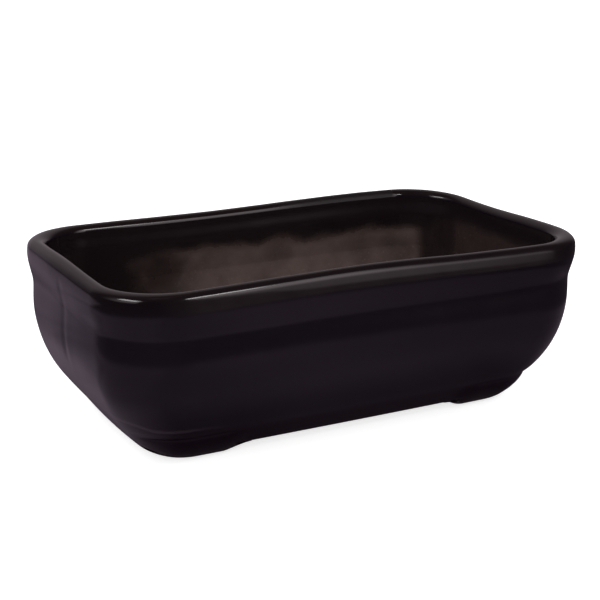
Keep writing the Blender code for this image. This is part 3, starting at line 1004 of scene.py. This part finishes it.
def foot_guides(sign_x, sign_y):
    """The two guides of the foot in one corner."""
    rows = foot_plan(sign_x, sign_y)
    return guides("foot", rows, [0.0] * len(rows), foot_section())


for end, sign_y in (("front", -1), ("rear", 1)):
    for side, sign_x in (("left", -1), ("right", 1)):
        name = f"foot_{end}_{side}"
        foot = lofted(name + "_skin", *foot_guides(sign_x, sign_y), foot_glaze)
        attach(foot, "root")
        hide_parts(name)

# %% [markdown]
# The camera stands in front of the near left corner, a little above the rim, half a metre away. It is
# placed by its direction and distance, and it leans by a fraction of a degree.

# %% Camera
VIEW_ANGLE, VIEW_HEIGHT, LEAN = math.radians(28.83), math.radians(16.29), math.radians(0.66)
VIEW_DISTANCE = 0.5112
TARGET_SIDE, TARGET_HEIGHT = -1.8 * MM, 41.9 * MM
LENS, SENSOR_WIDTH = 76.62, 36.0
NEAREST_SEEN = 10.0 * MM

back = Vector((
    -math.sin(VIEW_ANGLE) * math.cos(VIEW_HEIGHT),
    -math.cos(VIEW_ANGLE) * math.cos(VIEW_HEIGHT),
    math.sin(VIEW_HEIGHT),
))
level_right = Vector((math.cos(VIEW_ANGLE), -math.sin(VIEW_ANGLE), 0.0))
level_up = back.cross(level_right)
right = level_right * math.cos(LEAN) + level_up * math.sin(LEAN)
up = level_up * math.cos(LEAN) - level_right * math.sin(LEAN)
camera_data = bpy.data.cameras.new("camera")
camera_data.lens = LENS
camera_data.sensor_width = SENSOR_WIDTH
camera_data.clip_start = NEAREST_SEEN
camera = in_scene("camera", camera_data)
turned = Matrix((right, up, back)).transposed().to_4x4()
target = level_right * TARGET_SIDE + Vector((0.0, 0.0, TARGET_HEIGHT))
camera.matrix_world = Matrix.Translation(target + back * VIEW_DISTANCE) @ turned
bpy.context.scene.camera = camera
print("camera at", [round(v, 3) for v in camera.location])

# %% [markdown]
# The stage is a white floor and a white world. Camera, glossy and transmission rays see the world at full
# white, and for all other light it is a plain, softer level. The floor glows a little for those rays as
# well, so the background stays white round the pot and only the shadow at its foot shows.

# %% Stage
WORLD_LEVEL = 0.76
FLOOR_GLOW = 0.76
FLOOR_REACH, FLOOR_DEPTH = 3.0, 0.05 * MM
WHITE, PAPER = (1.0, 1.0, 1.0, 1.0), (0.9, 0.9, 0.9, 1.0)


def seen_directly(t):
    """1 for camera, glossy and transmission rays, and 0 for the light that falls on surfaces."""
    rays = t.tree.nodes.new("ShaderNodeLightPath")
    kinds = ("Is Camera Ray", "Is Glossy Ray", "Is Transmission Ray")
    camera_ray, glossy_ray, passing_ray = (Value(t.tree, rays.outputs[kind]) for kind in kinds)
    return (camera_ray + glossy_ray + passing_ray).clamped()


world = bpy.data.worlds.new("white room")
bpy.context.scene.world = world
w = emptied(world)
level = WORLD_LEVEL + (1.0 - WORLD_LEVEL) * seen_directly(w)
sky = w.node("ShaderNodeBackground", Color=WHITE, Strength=level)
w.end("ShaderNodeOutputWorld", sky)

paper = bpy.data.materials.new("white floor")
f = emptied(paper)
floor_shader = f.node("ShaderNodeBsdfPrincipled", Base_Color=PAPER, Roughness=0.9, Emission_Color=WHITE,
                      Emission_Strength=seen_directly(f) * FLOOR_GLOW)
f.end("ShaderNodeOutputMaterial", floor_shader)

floor_mesh = bpy.data.meshes.new("floor")
corners = [(x * FLOOR_REACH, y * FLOOR_REACH, -FLOOR_DEPTH) for x, y in ((-1, -1), (1, -1), (1, 1), (-1, 1))]
floor_mesh.from_pydata(corners, [], [(0, 1, 2, 3)])
floor_mesh.materials.append(paper)
floor = in_scene("floor", floor_mesh)
print("stage ready")

# %% [markdown]
# A dark glaze shows the room more than its own colour. Two soft boxes stand at either side of the camera:
# the right one draws a thin bright line along the near rim and along the inside of the far rim, and the
# left one lights the near corner.


# %% Lamps
def toward(turn, rise):
    """The direction at a turn from the rear to the right, and a rise over the floor, in degrees."""
    turn, rise = math.radians(turn), math.radians(rise)
    return Vector((math.sin(turn) * math.cos(rise), math.cos(turn) * math.cos(rise), math.sin(rise)))


MIDDLE = Vector((0.0, 0.0, 50.0 * MM))


def soft_box(name, direction, distance, width, tall, radiance):
    """An area lamp that faces the pot, given by how bright its face looks."""
    lamp = bpy.data.lights.new(name, "AREA")
    lamp.shape = "RECTANGLE"
    lamp.size, lamp.size_y = width, tall
    lamp.energy = radiance * math.pi * width * tall
    holder = in_scene(name, lamp)
    holder.location = MIDDLE + direction * distance
    holder.rotation_mode = "QUATERNION"
    holder.rotation_quaternion = (-direction).to_track_quat("-Z", "Y")


soft_box("right soft box", toward(157.5, 44.0), distance=1.10, width=0.155, tall=0.15, radiance=8.5)
soft_box("left soft box", toward(-94.0, 49.0), distance=0.70, width=0.27, tall=0.13, radiance=6.5)
print("lamps ready")

# %% [markdown]
# The room itself is a dim shell, a dome with a flat bottom, that only glossy rays see. It darkens the
# reflections, and it neither shades the pot nor hides the white background.

# %% The shell of the dim room
ROOM_RADIUS, ROOM_DEPTH = 2.2, 0.02 * MM

shell = bmesh.new()
bmesh.ops.create_icosphere(shell, subdivisions=4, radius=ROOM_RADIUS)
bmesh.ops.bisect_plane(shell, geom=shell.verts[:] + shell.edges[:] + shell.faces[:], plane_co=(0, 0, 0),
                       plane_no=(0, 0, 1), clear_inner=True)
bmesh.ops.holes_fill(shell, edges=[e for e in shell.edges if e.is_boundary], sides=0)
bmesh.ops.translate(shell, verts=shell.verts, vec=(0, 0, -ROOM_DEPTH))
room_mesh = bpy.data.meshes.new("dim_room")
shell.to_mesh(room_mesh)
shell.free()
room = in_scene("dim_room", room_mesh)
room.visible_camera = room.visible_diffuse = room.visible_transmission = room.visible_shadow = False
print("room faces:", len(room_mesh.polygons))

# %% [markdown]
# The room is lit by the place of each of its points. What matters is the direction from the pot, as a
# turn and a rise, and for the floor how far the point is from the pot's own foot.

# %% Directions in the room
TABLE_DEPTH = 35.0 * MM

dim = bpy.data.materials.new("dim_room")
d = emptied(dim)
room_point = d.node("ShaderNodeTexCoord", output=3)
away = d.vector("NORMALIZE", d.vector("SUBTRACT", room_point, tuple(MIDDLE)))
rise = split(d, away)[2]
level_way = d.vector("NORMALIZE", d.vector("MULTIPLY", away, (1.0, 1.0, 0.0)))
room_x, room_y = split(d, room_point)[:2]
beyond_x = (room_x.absolute() - (HALF_LENGTH - TABLE_DEPTH)).most(0.0)
beyond_y = (room_y.absolute() - (HALF_WIDTH - TABLE_DEPTH)).most(0.0)
reach = (beyond_x * beyond_x + beyond_y * beyond_y).maths("SQRT")


def along(way, source):
    """The cosine between a direction and the way to a point of the room."""
    return d.vector("DOT_PRODUCT", source, tuple(way), output=1)


print("room directions ready")

# %% [markdown]
# The pot stands on a pale table that ends a hand's breadth away, and the upright part of the wall mirrors
# the gap beyond the table's edge as the dark band below the rim. The table is in shade at the pot's foot.
# On the left it reaches further back, it is brightest close to the end wall, and it is darker beside the
# near left corner.

# %% The table
ROOM_LEVEL, TABLE_LEVEL, FAR_LEFT_LEVEL = 0.04, 0.19, 0.022
TABLE_EDGE = span(165.0, 128.0)
LEFT_TABLE_X, LEFT_TABLE_Y = span(-100.0, -130.0), span(100.0, 160.0)
LEFT_TABLE_EDGE = span(450.0, 300.0)
LEFT_NEAR_X, LEFT_NEAR_Y = span(-85.0, -110.0), span(-10.0, 70.0)
LEFT_NEAR_WIDE, LEFT_NEAR_CLOSE = span(130.0, 70.0), span(60.0, 35.0)
OUTER_TABLE, RIGHT_DIM = span(90.0, 140.0), span(130.0, 0.0)
FRONT_DIM_X = span(-10.0, -50.0), span(-130.0, -100.0)
CORNER_DIM_X = span(-107.0, -126.0), span(-200.0, -160.0)
CORNER_DIM_Y = span(5.0, 30.0), span(130.0, 100.0)
FAR_LEFT_X, FAR_LEFT_FROM = span(30.0, -120.0), span(130.0, 170.0)
SHADE_EDGE, SHADE_LEFT = span(20.0, 60.0), span(-60.0, -100.0)


def window(value, start, end):
    """A mask that rises over one pair and falls over the other."""
    return value.ramp(*start) * value.ramp(*end)


left_table = room_x.ramp(*LEFT_TABLE_X) * room_y.ramp(*LEFT_TABLE_Y) * reach.ramp(*LEFT_TABLE_EDGE)
left_near = (reach.ramp(*LEFT_NEAR_WIDE) * room_y.ramp(*LEFT_NEAR_Y)).most(reach.ramp(*LEFT_NEAR_CLOSE) * 0.9)
left_near = left_near * room_x.ramp(*LEFT_NEAR_X)
table = reach.ramp(*TABLE_EDGE).most(left_table)
table = table * (0.84 + 0.16 * reach.ramp(*OUTER_TABLE) + 0.85 * left_near)
table = table * (0.5 + 0.5 * room_x.ramp(*RIGHT_DIM)) * (1.0 - 0.3 * window(room_x, *FRONT_DIM_X))
table = table * TABLE_LEVEL * (1.0 - 0.46 * window(room_x, *CORNER_DIM_X) * window(room_y, *CORNER_DIM_Y))
table = table + FAR_LEFT_LEVEL * room_x.ramp(*FAR_LEFT_X) * reach.ramp(*FAR_LEFT_FROM)
shade = (0.25 + 0.75 * reach.ramp(*SHADE_EDGE)).most(room_x.ramp(*SHADE_LEFT))
print("table level:", TABLE_LEVEL)

# %% [markdown]
# Three more parts of the room are lit: the glow of a wall behind the pot on the left, and a curtain of
# light under each soft box, which gives the near rim its grey fade. A rise is given as its sine here,
# which is what the height of a direction is.

# %% The light of the room
WALL_GLOW, WALL_GLOW_WAY = 0.26, toward(15.0, 14.0)
WALL_GLOW_SPREAD = math.cos(math.radians(55.0)), math.cos(math.radians(20.0))
RIGHT_CURTAIN, LEFT_CURTAIN = (159.5, 128.0), (-118.0, -45.0)
CURTAIN_EDGE = -0.012, 0.012
ROOM_TINT = (1.0, 0.77, 0.99, 1.0)
LAMP_TINT = (1.0, 0.88, 0.91, 1.0)


def curtain(edge, end):
    """A mask with a sharp side at one turn, which fades to nothing at the other."""
    side = 1.0 if end > edge else -1.0
    across = along(toward(edge + 90.0, 0.0), level_way) * side
    width = math.radians(abs(end - edge))
    mask = across.ramp(*CURTAIN_EDGE) * across.ramp(math.sin(width), math.sin(0.25 * width))
    return mask * along(toward(edge, 0.0), level_way).ramp(0.0, 0.2)


wall_glow = along(WALL_GLOW_WAY, away).ramp(*WALL_GLOW_SPREAD) * WALL_GLOW
right_fall = (rise.ramp(-0.165, -0.11) * 0.45 + rise.ramp(-0.11, 0.50) * 1.75) * rise.ramp(0.80, 0.70)
left_fall = rise.ramp(0.20, 0.65) * rise.ramp(0.86, 0.78) * 1.3
floor_part = rise.ramp(0.06, -0.02)
room_light = (ROOM_LEVEL + table) * (1.0 - floor_part + floor_part * shade) + wall_glow * floor_part
lamp_light = curtain(*RIGHT_CURTAIN) * right_fall + curtain(*LEFT_CURTAIN) * left_fall
lamp_light = lamp_light + wall_glow * (1.0 - floor_part)
room_shader = d.node("ShaderNodeEmission", Color=ROOM_TINT, Strength=room_light)
lamp_shader = d.node("ShaderNodeEmission", Color=LAMP_TINT, Strength=lamp_light)
glow = d.node("ShaderNodeAddShader", _0=room_shader, _1=lamp_shader)
d.end("ShaderNodeOutputMaterial", glow)
room_mesh.materials.append(dim)
print("room nodes:", len(d.tree.nodes))

# %% Finish
scene = bpy.context.scene
scene.view_settings.view_transform = "Standard"
